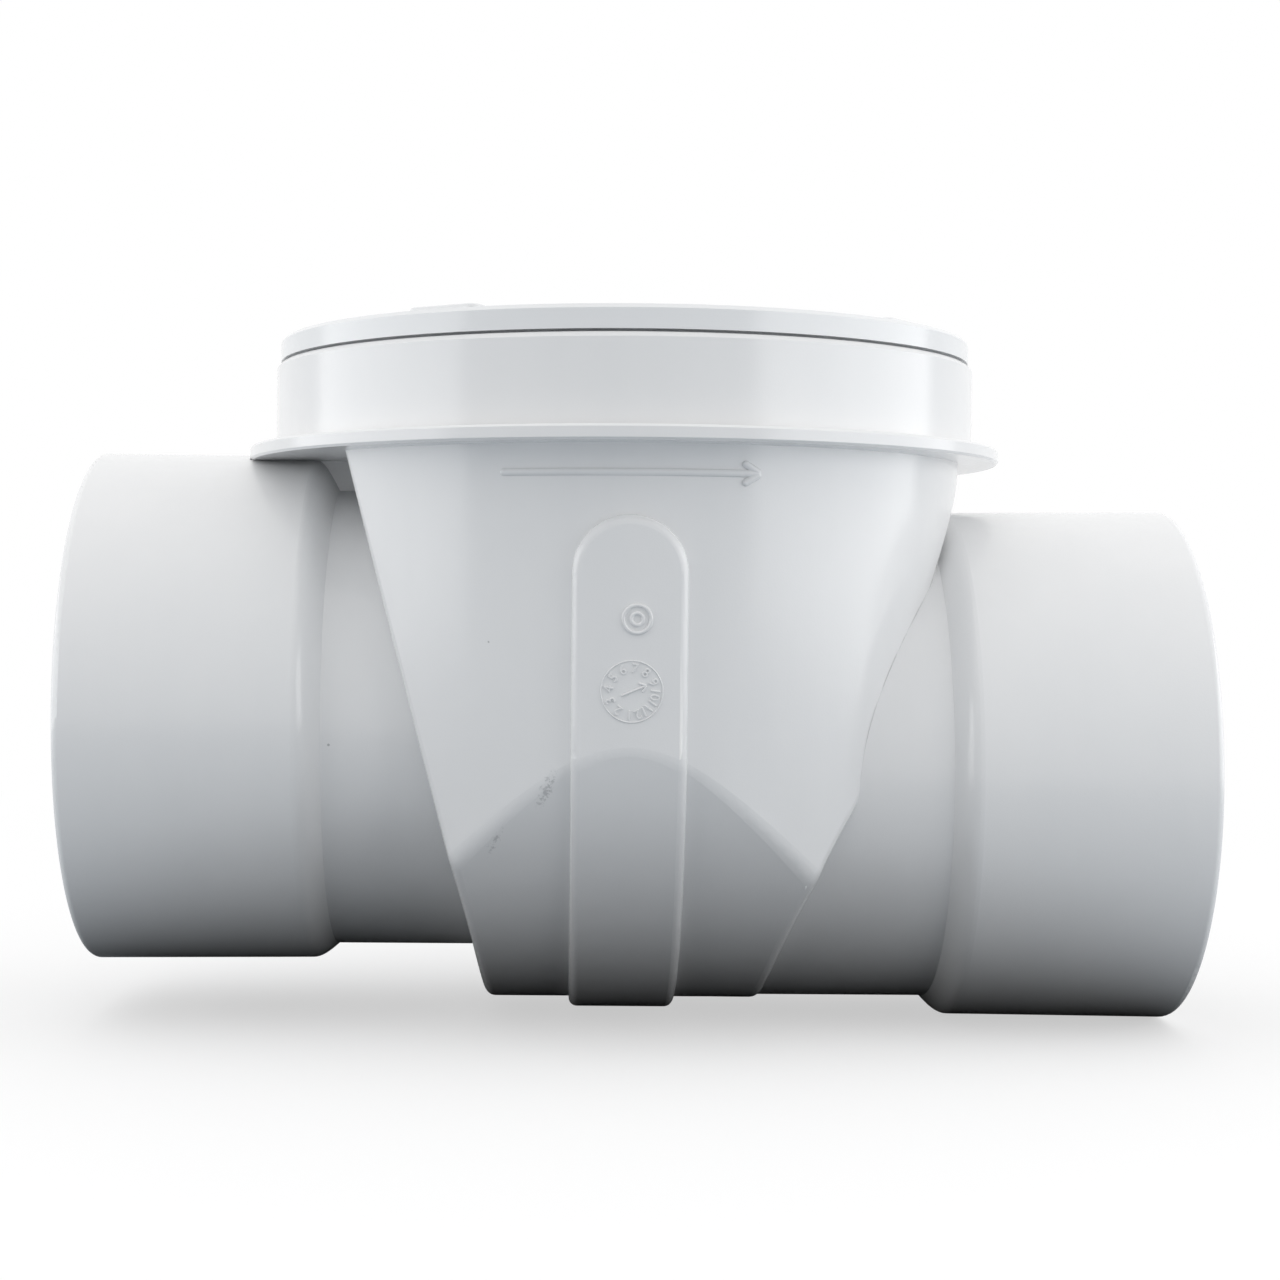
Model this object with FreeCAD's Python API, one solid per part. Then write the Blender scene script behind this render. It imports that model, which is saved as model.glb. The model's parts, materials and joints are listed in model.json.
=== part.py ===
import FreeCAD, Part
import math
import os

# Backwater valve for a 6-inch gravity drain: a white moulded body with two pipe sockets, an inclined
# seat, a hinged flap that falls shut by its own weight, and a screwed access cover.
# Millimetres, +Z up, flow along +X. Shapes are drawn about the upright access axis at x = 0 and are
# moved at the end, so that the origin lies under the middle of the whole length.

# Pipe sockets
pipe_radius = 84.15          # 168.3 mm pipe
socket_clearance = 0.15
socket_depth = 76.0
stop_width = 3.0             # hub material behind the pipe stop
hub_wall = 7.0               # at the pipe stop
hub_draft = 0.5              # degrees, hub grows towards its mouth
hub_edge = 2.6               # rounding of the mouth's outer edge
socket_lead = 1.5            # chamfer inside the mouth
hub_shoulder = 9.0           # length of the step from hub to neck
bore_radius = 77.0           # clear way through both necks
inlet_neck_wall = 6.2
outlet_neck_wall = 7.8
inlet_reach = 190.0          # access axis to the inlet mouth
outlet_reach = 197.0         # access axis to the outlet mouth
inlet_rise = 18.9            # inlet pipe axis above the outlet pipe axis
inlet_neck_drop = 2.9        # neck axis below the inlet pipe axis
saddle_half_width = 19.0     # web that fills the gap between the inlet neck and the flange

# Chamber
wall = 6.5
flange_height = 199.6        # underside of the flange above the lowest point
chamber_radius = 121.6       # outside, at the flange
chamber_draft = 3.5          # degrees, the chamber narrows downwards
trough_height = 6.4          # underside of the chamber above the lowest point
trough_half_width = 122.3    # half axis of the trough's elliptical section, across
trough_half_depth = 142.0    # half axis of the trough's elliptical section, upright
crease_round = 9.0           # rounding between chamber wall and trough
inlet_edge_round = 3.5       # rounding of the inlet wall's edges
ridge_round = 4.0            # rounding of the outlet end's edges
inlet_wall_reach = 94.9      # access axis to the inclined inlet wall, at the flange
inlet_wall_slope = 15.2      # degrees from upright; also the flap's slope when shut
toe_reach = 47.6             # access axis to the foot of the inlet wall
toe_bend_height = 63.8       # where the inlet wall turns steeper
outlet_wall_reach = 122.0    # access axis to the inclined outlet wall, at the flange
outlet_wall_slope = 21.0     # degrees from upright
heel_top_height = 82.8       # where the outlet wall turns into the heel
heel_top_round = 60.0        # rounding of that bend
heel_middle_reach = 60.6     # outlet end of the trough, halfway down
heel_middle_height = 53.0
heel_foot_reach = 50.4       # outlet end of the trough, lower end
heel_foot_height = 18.0

# Stiffening hoop moulded round the chamber
hoop_width = 37.2
hoop_height = 3.6
hoop_top = 177.0
hoop_round = 3.0

# Flange and threaded collar
flange_radius = 135.7
flange_thickness = 5.0
flange_round = 0.8
collar_radius = 126.3
collar_length = 29.8
collar_round = 1.6
access_radius = 118.0        # thread's outer radius inside the collar
o_ring_width = 4.0
o_ring_seat_depth = 3.0
o_ring_play = 0.3            # seal to the sides of its seat
o_ring_edge = 0.8            # bevel of the pressed seal

# Access cover
cover_gap = 1.0              # seam between the collar and the cover's rim
cover_radius = 124.8
cover_rim = 8.0              # thickness of the rim
cover_round = 1.4
cover_dish = 1.5             # depth of the shallow dish in the top
cover_dish_radius = 104.0
cover_web = 5.5
skirt_clearance = 3.6        # room for the thread ridges between skirt and collar
skirt_wall = 5.8
skirt_length = 24.0
cover_rib_width = 3.0
cover_rib_depth = 6.0
cover_rib_count = 8
cover_boss_radius = 14.0
lug_count = 4
lug_angle = 237.0            # degrees, first lug
lug_length = 27.0
lug_width = 9.0
lug_height = 2.6             # above the rim
lug_radius = 110.0           # middle of a lug
lug_round = 1.0
lug_corner = 3.0             # rounding of a lug's upright edges

# Seat ring
seat_radius = 86.0
seat_thickness = 4.0
lip_radius = 82.6
lip_width = 2.2
lip_height = 2.5
shut_gap = 0.3               # seal to lip with the flap shut

# Flap
flap_radius = 84.0
flap_plate = 5.0
flap_rim = 5.0
flap_rib_height = 4.0
flap_rib_width = 4.0
flap_ring_rib = 42.0
flap_rib_count = 8
seal_thickness = 4.0
seal_inner_radius = 62.0
clamp_radius = 70.0
clamp_thickness = 3.0
clamp_screw_circle = 50.0
clamp_screw_count = 6

# Hinge
hinge_rise = 92.5            # hinge axis up the slope from the bore's centre
hinge_stand = 15.0           # hinge axis off the inlet wall's inner face
knuckle_radius = 9.0
knuckle_inner = 5.0          # nearest face of a knuckle to the middle plane
knuckle_length = 12.0
pin_radius = 4.0
running_clearance = 0.06
bush_wall = 2.0
bush_flange = 1.5
bush_flange_radius = 8.0
ear_play = 0.5
ear_thickness = 6.0
ear_radius = 8.5
bracket_thickness = 4.0
bracket_depth = 23.0
bracket_half_width = 33.0
bracket_back = 108.0         # access axis to the bracket's back edge
bracket_play = 0.5           # bracket to the seat ring below it
clip_thickness = 1.2
clip_radius = 7.0
clip_groove = 0.8
clip_mouth = 5.0
pin_overhang = 3.2

# Small fasteners
screw_radius = 2.0
head_radius = 4.2
head_height = 2.8
head_edge = 0.9              # bevel of a screw head
drive_radius = 1.7
drive_depth = 1.5
washer_radius = 5.0
washer_thickness = 0.8
insert_wall = 1.6
clamp_insert_length = 7.0
bracket_insert_length = 4.2
bracket_screw_back = 101.5   # access axis to the bracket screws
bracket_screw_half_pitch = 22.0

# Worked out from the sizes above
socket_radius = pipe_radius + socket_clearance
hub_length = socket_depth + stop_width
hub_radius = socket_radius + hub_wall
mouth_radius = hub_radius + hub_length * math.tan(math.radians(hub_draft))
outlet_axis = mouth_radius
inlet_axis = outlet_axis + inlet_rise
inlet_neck_axis = inlet_axis - inlet_neck_drop
inlet_neck_radius = bore_radius + inlet_neck_wall
outlet_neck_radius = bore_radius + outlet_neck_wall
flange_top = flange_height + flange_thickness
collar_top = flange_top + collar_length
rim_bottom = collar_top + cover_gap
rim_top = rim_bottom + cover_rim
skirt_radius = access_radius - skirt_clearance
skirt_bottom = rim_bottom - skirt_length
inlet_slope = math.tan(math.radians(inlet_wall_slope))
outlet_slope = math.tan(math.radians(outlet_wall_slope))
inlet_wall_shift = wall / math.cos(math.radians(inlet_wall_slope))
outlet_wall_shift = wall / math.cos(math.radians(outlet_wall_slope))
chamber_taper = math.tan(math.radians(chamber_draft))
middle = (outlet_reach - inlet_reach) / 2
beyond = 2 * flange_radius   # reaches past the whole body

seal_base = seat_thickness + lip_height + shut_gap
plate_base = seal_base + seal_thickness
plate_top = plate_base + flap_plate
clamp_base = seal_base - clamp_thickness
bush_radius = pin_radius + running_clearance + bush_wall
knuckle_outer = knuckle_inner + knuckle_length
ear_inner = knuckle_outer + bush_flange + ear_play
ear_outer = ear_inner + ear_thickness
pin_half_length = ear_outer + clip_thickness + pin_overhang

UP = FreeCAD.Vector(0, 0, 1)
ALONG = FreeCAD.Vector(1, 0, 0)
ACROSS = FreeCAD.Vector(0, 1, 0)


def at(x, y, z):
    return FreeCAD.Vector(x, y, z)


def face_of(edges):
    return Part.Face(Part.Wire(edges))


def outline(points):
    """Flat face through points (x, z) in the upright middle plane."""
    corners = [at(x, 0, z) for x, z in points]
    return Part.Face(Part.makePolygon(corners + corners[:1]))


def across(face, low, high):
    """Extrudes a face of the middle plane from y = low to y = high."""
    return face.translated(at(0, low, 0)).extrude(at(0, high - low, 0))


def turned(points, start=UP * 0, axis=UP):
    """Revolves (radius, height) points about an axis through start."""
    solid = outline(points).revolve(UP * 0, UP, 360)
    solid.Placement = FreeCAD.Placement(start, FreeCAD.Rotation(UP, axis))
    return solid


def rod(radius, length, start, axis=UP):
    return Part.makeCylinder(radius, length, start, axis)


def ring(outer, inner, length, start, axis=UP):
    return rod(outer, length, start, axis).cut(rod(inner, length, start, axis))


def round_about(shape, count):
    """The shape and its copies, evenly spaced about the upright axis."""
    copies = []
    for step in range(count):
        copy = shape.copy()
        copy.rotate(UP * 0, UP, 360 * step / count)
        copies.append(copy)
    return copies


def joined(shapes):
    return shapes[0].multiFuse(shapes[1:]).removeSplitter()


def group(shapes):
    return Part.makeCompound(shapes)


def biggest(shape):
    return max(shape.Solids, key=lambda solid: solid.Volume)


def middle_of(edge):
    return edge.valueAt((edge.FirstParameter + edge.LastParameter) / 2)


# Chamber forms

def chamber_radius_at(height, grown=0.0):
    return chamber_radius + grown - (flange_height - height) * chamber_taper


def trough_surface_gap(point, grown=0.0):
    """Zero on the trough's elliptical surface, in shares of its half axes."""
    centre = trough_height + trough_half_depth
    across_share = point.y / (trough_half_width + grown)
    depth_share = (point.z - centre) / (trough_half_depth + grown)
    return math.hypot(across_share, depth_share) - 1


def drafted_round(grown, top):
    return Part.makeCone(chamber_radius_at(0, grown), chamber_radius_at(top, grown), top)


def trough_bar(grown, top):
    """Bar along the flow whose underside is the lower half of an ellipse."""
    half_width = trough_half_width + grown
    half_depth = trough_half_depth + grown
    centre = at(-beyond, 0, trough_height + trough_half_depth)
    left = centre - ACROSS * half_width
    right = centre + ACROSS * half_width
    bottom = centre - UP * half_depth
    if half_depth >= half_width:
        ellipse = Part.Ellipse(bottom, right, centre)
    else:
        ellipse = Part.Ellipse(right, bottom, centre)
    bow = Part.Arc(ellipse, ellipse.parameter(left), ellipse.parameter(right)).toShape()
    if (middle_of(bow) - bottom).Length > half_depth:
        bow = Part.Arc(ellipse, ellipse.parameter(right), ellipse.parameter(left)).toShape()
    lift = UP * (top - centre.z)
    sides = [Part.makeLine(right, right + lift), Part.makeLine(right + lift, left + lift),
             Part.makeLine(left + lift, left)]
    return face_of(Part.__sortEdges__([bow] + sides)).extrude(ALONG * 2 * beyond)


def end_walls(inset_in, inset_out, top):
    """Prism between the inclined inlet wall and the outlet wall with its curved heel."""
    def inlet_wall(height):
        return -inlet_wall_reach + (flange_height - height) * inlet_slope + inset_in

    def outlet_wall(height):
        return outlet_wall_reach - (flange_height - height) * outlet_slope - inset_out

    bend = at(inlet_wall(toe_bend_height), 0, toe_bend_height)
    toe = at(-toe_reach + inset_in, 0, 0)
    steer = at(inlet_wall(toe_bend_height / 2), 0, toe_bend_height / 2)
    toe_curve = Part.BezierCurve()
    toe_curve.setPoles([bend, steer, toe])
    heel = [at(outlet_wall(heel_top_height), 0, heel_top_height),
            at(heel_middle_reach - inset_out, 0, heel_middle_height),
            at(heel_foot_reach - inset_out, 0, heel_foot_height)]
    corners = [at(inlet_wall(top), 0, top), at(outlet_wall(top), 0, top), heel[0]]
    foot = at(heel[2].x, 0, 0)
    edges = [Part.makeLine(a, b) for a, b in zip(corners, corners[1:])]
    edges += [Part.Arc(*heel).toShape(), Part.makeLine(heel[2], foot), Part.makeLine(foot, toe),
              toe_curve.toShape(), Part.makeLine(bend, corners[0])]
    prism = across(face_of(Part.__sortEdges__(edges)), -beyond, beyond)
    bends = [edge for edge in prism.Edges if (edge.CenterOfMass - heel[0]).Length < 0.01]
    return prism.makeFillet(heel_top_round, bends)


def round_form(grown):
    """Drafted round wall running down into the trough, with the crease between them rounded."""
    form = drafted_round(grown, flange_height).common(trough_bar(grown, flange_height))

    def on_crease(edge):
        point = middle_of(edge)
        on_wall = abs(math.hypot(point.x, point.y) - chamber_radius_at(point.z, grown)) < 0.01
        return on_wall and abs(trough_surface_gap(point, grown)) < 1e-4

    return form.makeFillet(crease_round + grown, [edge for edge in form.Edges if on_crease(edge)])


def end_faces(block, side):
    """Flat and curved faces that close the chamber towards the inlet (-1) or the outlet (1)."""
    faces = []
    for face in block.Faces:
        low_u, high_u, low_v, high_v = face.ParameterRange
        normal = face.normalAt((low_u + high_u) / 2, (low_v + high_v) / 2)
        if abs(normal.y) < 1e-6 and normal.x * side > 0.3:
            faces.append(face)
    return faces


def with_round_end(block, side, radius):
    """Rounds the edges where one end's faces meet the round form."""
    faces = end_faces(block, side)

    def borders_one(edge):
        return sum(any(edge.isSame(other) for other in face.Edges) for face in faces) == 1

    edges = [edge for edge in block.Edges if borders_one(edge) and middle_of(edge).z < flange_height - 0.01]
    return block.makeFillet(radius, edges)


def chamber_block():
    """Chamber's outside, filled."""
    block = biggest(round_form(0).common(end_walls(0, 0, flange_height)))
    block = with_round_end(block, -1, inlet_edge_round)
    return with_round_end(block, 1, ridge_round)


def hoop_outline(half_width, top):
    """Upright strip with a half-round top, in the middle plane."""
    shoulder = top - half_width
    low_left, low_right = at(-half_width, 0, -beyond), at(half_width, 0, -beyond)
    left, right = at(-half_width, 0, shoulder), at(half_width, 0, shoulder)
    return face_of([Part.makeLine(low_left, low_right), Part.makeLine(low_right, right),
                    Part.Arc(right, at(0, 0, top), left).toShape(), Part.makeLine(left, low_left)])


def hoop():
    """Band round the chamber from one side to the other, with soft edges."""
    strip = across(hoop_outline(hoop_width / 2, hoop_top), -beyond, beyond)
    block = biggest(round_form(hoop_height).common(strip))
    centre_height = hoop_top - hoop_width / 2

    def on_rim(edge):
        point = middle_of(edge)
        beside = abs(abs(point.x) - hoop_width / 2) < 0.01
        above = point.z > centre_height and abs(point.x) < 0.01
        straight_across = edge.Curve.TypeId == "Part::GeomLine" and abs(point.y) < 0.01
        return (beside or above) and not straight_across

    return block.makeFillet(hoop_round, [edge for edge in block.Edges if on_rim(edge)])


def hoop_groove():
    """Hollow side of the hoop, inside the chamber."""
    grown = hoop_height - wall
    form = drafted_round(grown, flange_height).common(trough_bar(grown, flange_height))
    return form.common(across(hoop_outline(hoop_width / 2 - wall, hoop_top - wall), -beyond, beyond))


def chamber_hollow():
    """Room inside the chamber up through the flange."""
    room = drafted_round(-wall, flange_top).common(trough_bar(-wall, flange_top))
    room = room.common(end_walls(inlet_wall_shift, outlet_wall_shift, flange_top))
    return room.fuse(hoop_groove())


def inlet_bore():
    return rod(bore_radius, inlet_reach, at(-inlet_reach, 0, inlet_neck_axis), ALONG)


def outlet_bore():
    return rod(bore_radius, outlet_reach, at(0, 0, outlet_axis), ALONG)


# Body

def valve_chamber():
    block = chamber_block().fuse(hoop())
    shell = block.cut(chamber_hollow())
    return biggest(shell.cut(inlet_bore()).cut(outlet_bore()))


def shoulder_loft(radius_from, radius_to, drop):
    """Step from hub to neck along +X from the origin, rounded at the hub and creased at the neck,
    whose axis lies lower by drop."""
    sections = []
    for share in (0, 0.25, 0.5, 0.75, 1):
        blend = 1 - math.cos(math.pi / 2 * share)
        radius = radius_from + (radius_to - radius_from) * blend
        circle = Part.Circle(at(hub_shoulder * share, 0, -drop * blend), ALONG, radius)
        sections.append(Part.Wire(circle.toShape()))
    return Part.makeLoft(sections, True)


def hub(neck_radius, drop, neck_length, webs=()):
    """Hub, shoulder, neck and its webs along +X, with the mouth at the origin and its axis at z = 0."""
    barrel = Part.makeCone(mouth_radius, hub_radius, hub_length, UP * 0, ALONG)
    mouth_edge = [edge for edge in barrel.Edges if abs(edge.CenterOfMass.x) < 0.01
                  and len(edge.Vertexes) == 1]
    barrel = barrel.makeFillet(hub_edge, mouth_edge[:1])
    shoulder = shoulder_loft(hub_radius, neck_radius, drop)
    shoulder.translate(ALONG * hub_length)
    neck = rod(neck_radius, neck_length, at(hub_length + hub_shoulder, 0, -drop), ALONG)
    solid = barrel.fuse(shoulder).fuse(neck)
    for web in webs:
        solid = solid.fuse(web)
    socket = turned([(0, 0), (socket_radius + socket_lead, 0), (socket_radius, socket_lead),
                     (socket_radius, socket_depth), (0, socket_depth)], UP * 0, ALONG)
    bore = rod(bore_radius, hub_length + hub_shoulder + neck_length, at(0, 0, -drop), ALONG)
    return solid.cut(socket).cut(bore)


def body_block():
    """All that the hubs must not enter: the filled chamber with the flange on it."""
    disc = rod(flange_radius, collar_length, at(0, 0, flange_height))
    return chamber_block().fuse(disc)


def inlet_saddle():
    """Web from the inlet neck up to the flange, in the hub's own place, before its bore is cut."""
    return Part.makeBox(hub_length, 2 * saddle_half_width, flange_height - inlet_neck_axis,
                        at(hub_length, -saddle_half_width, -inlet_neck_drop))


def inlet_hub():
    neck_length = inlet_reach - hub_length - hub_shoulder - toe_reach
    piece = hub(inlet_neck_radius, inlet_neck_drop, neck_length, [inlet_saddle()])
    piece.translate(at(-inlet_reach, 0, inlet_axis))
    return biggest(piece.cut(body_block()))


def outlet_hub():
    neck_length = outlet_reach - hub_length - hub_shoulder - heel_foot_reach + wall
    piece = hub(outlet_neck_radius, 0, neck_length)
    piece.rotate(UP * 0, UP, 180)
    piece.translate(at(outlet_reach, 0, outlet_axis))
    return biggest(piece.cut(body_block()))


def access_collar():
    """Flange with the threaded collar; the deck inside it carries the hinge bracket."""
    profile = [(0, flange_height), (flange_radius - flange_round, flange_height),
               (flange_radius, flange_height + flange_round), (flange_radius, flange_top - flange_round),
               (flange_radius - flange_round, flange_top), (collar_radius, flange_top),
               (collar_radius, collar_top - collar_round), (collar_radius - collar_round, collar_top),
               (0, collar_top)]
    blank = turned(profile)
    seat_floor = collar_top - o_ring_seat_depth
    entry = turned([(0, flange_top), (access_radius, flange_top), (access_radius, seat_floor),
                    (access_radius + o_ring_width, seat_floor), (access_radius + o_ring_width, collar_top),
                    (0, collar_top)])
    pockets = group([rod(insert_radius(), bracket_insert_length, point)
                     for point in bracket_insert_points()])
    return biggest(blank.cut(entry).cut(chamber_hollow()).cut(pockets))


# Seat and flap are drawn in a frame of their own: the origin on the inlet wall's inner face at the
# bore's centre, x down the slope, z away from the wall.

def on_seat(shape):
    height = inlet_neck_axis
    reach = -inlet_wall_reach + (flange_height - height) * inlet_slope + inlet_wall_shift
    turn = FreeCAD.Rotation(ACROSS, 90 - inlet_wall_slope)
    placed = shape.copy()
    placed.Placement = FreeCAD.Placement(at(reach, 0, height), turn).multiply(placed.Placement)
    return placed


def hinge_point():
    return on_seat(Part.Vertex(-hinge_rise, 0, hinge_stand)).Point


def seat_ring():
    step = lip_radius - lip_width
    base = rod(seat_radius, seat_thickness, UP * 0)
    lip = ring(lip_radius, step, lip_height, UP * seat_thickness)
    return on_seat(base.fuse(lip)).cut(inlet_bore())


def flap_disc():
    boss = rod(seal_inner_radius, seal_thickness, UP * seal_base)
    disc = rod(flap_radius, flap_plate, UP * plate_base)
    rim = ring(flap_radius, flap_radius - flap_rim, flap_rib_height, UP * plate_top)
    circle_rib = ring(flap_ring_rib, flap_ring_rib - flap_rib_width, flap_rib_height, UP * plate_top)
    spoke = Part.makeBox(flap_radius - flap_rim / 2, flap_rib_width, flap_rib_height,
                         at(0, -flap_rib_width / 2, plate_top))
    spokes = round_about(spoke, flap_rib_count)
    return joined([boss, disc, rim, circle_rib] + spokes)


def flap_arm():
    """One knuckle with the arm that carries it, on the +Y side."""
    top = hinge_stand + knuckle_radius
    arm_end = -flap_ring_rib
    side = outline([(-hinge_rise, plate_base), (arm_end, plate_base),
                    (arm_end, plate_top + flap_rib_height), (-flap_radius + flap_rim, top),
                    (-hinge_rise, top)])
    arm = across(side, knuckle_inner, knuckle_outer)
    knuckle = rod(knuckle_radius, knuckle_length, at(-hinge_rise, knuckle_inner, hinge_stand), ACROSS)
    return arm.fuse(knuckle)


def flap():
    arm = flap_arm()
    body = joined([flap_disc(), arm, arm.mirror(UP * 0, ACROSS)])
    pin_way = rod(bush_radius, 2 * knuckle_outer, at(-hinge_rise, -knuckle_outer, hinge_stand), ACROSS)
    pockets = group([rod(insert_radius(), clamp_insert_length, point + UP * seal_base)
                     for point in clamp_screw_points()])
    return on_seat(biggest(body.cut(pin_way).cut(pockets)))


def hinge_bushes():
    outer = bush_radius
    inner = pin_radius + running_clearance
    start = at(-hinge_rise, knuckle_inner, hinge_stand)
    sleeve = ring(outer, inner, knuckle_length, start, ACROSS)
    collar = ring(bush_flange_radius, inner, bush_flange, start + ACROSS * knuckle_length, ACROSS)
    bush = sleeve.fuse(collar)
    return on_seat(group([bush, bush.mirror(UP * 0, ACROSS)]))


def flap_seal():
    return on_seat(ring(flap_radius, seal_inner_radius, seal_thickness, UP * seal_base))


def seal_retainer():
    plate = rod(clamp_radius, clamp_thickness, UP * clamp_base)
    holes = group([rod(screw_radius, clamp_thickness, point + UP * clamp_base)
                   for point in clamp_screw_points()])
    return on_seat(plate.cut(holes))


# Fasteners

def insert_radius():
    return screw_radius + insert_wall


def clamp_screw_points():
    turn = 180 / clamp_screw_count
    first = FreeCAD.Rotation(UP, turn).multVec(ALONG * clamp_screw_circle)
    return [FreeCAD.Rotation(UP, 360 * step / clamp_screw_count).multVec(first)
            for step in range(clamp_screw_count)]


def bracket_screw_points():
    """Screw axes where they meet the deck."""
    return [at(-bracket_screw_back, side * bracket_screw_half_pitch, flange_top) for side in (-1, 1)]


def bracket_insert_points():
    """Bottoms of the blind pockets in the deck."""
    return [point - UP * bracket_insert_length for point in bracket_screw_points()]


def screw(shank):
    """Pan head screw with its shank down from the origin and a socket drive in its head."""
    return turned([(0, -shank), (screw_radius, -shank), (screw_radius, 0), (head_radius, 0),
                   (head_radius, head_height - head_edge), (head_radius - head_edge, head_height),
                   (drive_radius, head_height), (drive_radius, head_height - drive_depth),
                   (0, head_height - drive_depth)])


def insert(length):
    return ring(insert_radius(), screw_radius, length, UP * 0)


def washer():
    return ring(washer_radius, screw_radius, washer_thickness, UP * 0)


def placed_copies(shape, points):
    return group([shape.translated(point) for point in points])


def upside_down(shape):
    copy = shape.copy()
    copy.rotate(UP * 0, ALONG, 180)
    return copy


def retainer_screws():
    shank = washer_thickness + clamp_thickness + clamp_insert_length
    points = [point + UP * (clamp_base - washer_thickness) for point in clamp_screw_points()]
    return on_seat(placed_copies(upside_down(screw(shank)), points))


def retainer_washers():
    points = [point + UP * (clamp_base - washer_thickness) for point in clamp_screw_points()]
    return on_seat(placed_copies(washer(), points))


def flap_inserts():
    points = [point + UP * seal_base for point in clamp_screw_points()]
    return on_seat(placed_copies(insert(clamp_insert_length), points))


def bracket_screws():
    shank = bracket_thickness + bracket_insert_length
    points = [point + UP * bracket_thickness for point in bracket_screw_points()]
    return placed_copies(screw(shank), points)


def bracket_inserts():
    return placed_copies(insert(bracket_insert_length), bracket_insert_points())


# Hinge

def touch_point(centre, radius, point, side):
    """Where a line from the point touches the circle; side 1 is above the way there, -1 below."""
    way = point - centre
    opening = math.degrees(math.acos(radius / way.Length))
    return centre + FreeCAD.Rotation(ACROSS, side * opening).multVec(way) * (radius / way.Length)


def bracket_ear():
    """Ear on the +Y side, from the foot out to the hinge pin."""
    hinge = hinge_point()
    heel = at(-bracket_back + bracket_depth / 2, 0, flange_top + bracket_thickness)
    heel_foot = at(heel.x, 0, flange_top)
    toe = at(-inlet_wall_reach + inlet_wall_shift + ear_play, 0, flange_top)
    high = touch_point(hinge, ear_radius, heel, 1)
    low = touch_point(hinge, ear_radius, toe, -1)
    nose = hinge + (hinge - heel_foot).normalize() * ear_radius
    edges = [Part.makeLine(high, heel), Part.makeLine(heel, heel_foot), Part.makeLine(heel_foot, toe),
             Part.makeLine(toe, low), Part.Arc(low, nose, high).toShape()]
    return across(face_of(edges), ear_inner, ear_outer)


def hinge_bracket():
    foot = Part.makeBox(bracket_depth, 2 * bracket_half_width, bracket_thickness,
                        at(-bracket_back, -bracket_half_width, flange_top))
    foot = foot.makeFillet(bracket_thickness, [edge for edge in foot.Edges
                                               if abs(edge.Length - bracket_thickness) < 0.01])
    ear = bracket_ear()
    hinge = hinge_point()
    pin_way = rod(pin_radius, 2 * ear_outer, at(hinge.x, -ear_outer, hinge.z), ACROSS)
    holes = group([rod(screw_radius, bracket_thickness, point) for point in bracket_screw_points()])
    ring_room = on_seat(rod(seat_radius + bracket_play, seat_thickness + lip_height + bracket_play, UP * 0))
    bracket = joined([foot, ear, ear.mirror(UP * 0, ACROSS)])
    return biggest(bracket.cut(pin_way).cut(holes).cut(ring_room))


def hinge_pin():
    hinge = hinge_point()
    pin = rod(pin_radius, 2 * pin_half_length, at(hinge.x, -pin_half_length, hinge.z), ACROSS)
    ends = [edge for edge in pin.Edges if len(edge.Vertexes) == 1]
    pin = pin.makeChamfer(clip_groove, ends)
    for side in (-1, 1):
        start = at(hinge.x, side * (ear_outer + clip_thickness / 2) - clip_thickness / 2, hinge.z)
        pin = pin.cut(ring(clip_radius, pin_radius - clip_groove, clip_thickness, start, ACROSS))
    return pin


def pin_clips():
    hinge = hinge_point()
    start = at(hinge.x, ear_outer, hinge.z)
    clip = ring(clip_radius, pin_radius - clip_groove, clip_thickness, start, ACROSS)
    mouth = Part.makeBox(clip_radius, clip_thickness, clip_mouth,
                         start - UP * clip_mouth / 2)
    clip = clip.cut(mouth)
    return group([clip, clip.mirror(UP * 0, ACROSS)])


# Cover

def cover_lug():
    """Raised wrench lug on the cover's top."""
    length, width = lug_length / 2, lug_width / 2
    block = Part.makeBox(lug_width, lug_length, cover_dish + lug_height,
                         at(lug_radius - width, -length, rim_top - cover_dish))
    tops = [edge for edge in block.Edges if edge.CenterOfMass.z > rim_top]
    uprights = [edge for edge in tops if abs(edge.CenterOfMass.z - rim_top - lug_height) > 0.01]
    block = block.makeFillet(lug_corner, uprights)
    tops = [edge for edge in block.Edges if abs(edge.CenterOfMass.z - rim_top - lug_height) < 0.01]
    block = block.makeFillet(lug_round, tops)
    block.rotate(UP * 0, UP, lug_angle)
    return block


def cover_skirt():
    """Skirt that carries the cover's thread, moulded in one with the cover."""
    inner = skirt_radius - skirt_wall
    return turned([(inner, skirt_bottom), (skirt_radius - cover_round, skirt_bottom),
                   (skirt_radius, skirt_bottom + cover_round), (skirt_radius, rim_bottom),
                   (inner, rim_bottom)])


def access_cover():
    """Dished disc with its rim and lugs above, and ribs that end against the skirt below."""
    inner = skirt_radius - skirt_wall
    dish = rim_top - cover_dish
    web = dish - cover_web
    profile = [(0, dish), (cover_dish_radius - cover_dish, dish), (cover_dish_radius, rim_top),
               (cover_radius - cover_round, rim_top), (cover_radius, rim_top - cover_round),
               (cover_radius, rim_bottom), (inner, rim_bottom), (inner, web), (0, web)]
    rib = Part.makeBox(skirt_radius, cover_rib_width, cover_rib_depth,
                       at(0, -cover_rib_width / 2, web - cover_rib_depth))
    boss = rod(cover_boss_radius, cover_rib_depth, UP * (web - cover_rib_depth))
    ribs = joined([boss] + round_about(rib, cover_rib_count))
    ribs = ribs.common(rod(inner, cover_rib_depth, UP * (web - cover_rib_depth)))
    return joined([turned(profile), ribs] + round_about(cover_lug(), lug_count))


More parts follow.
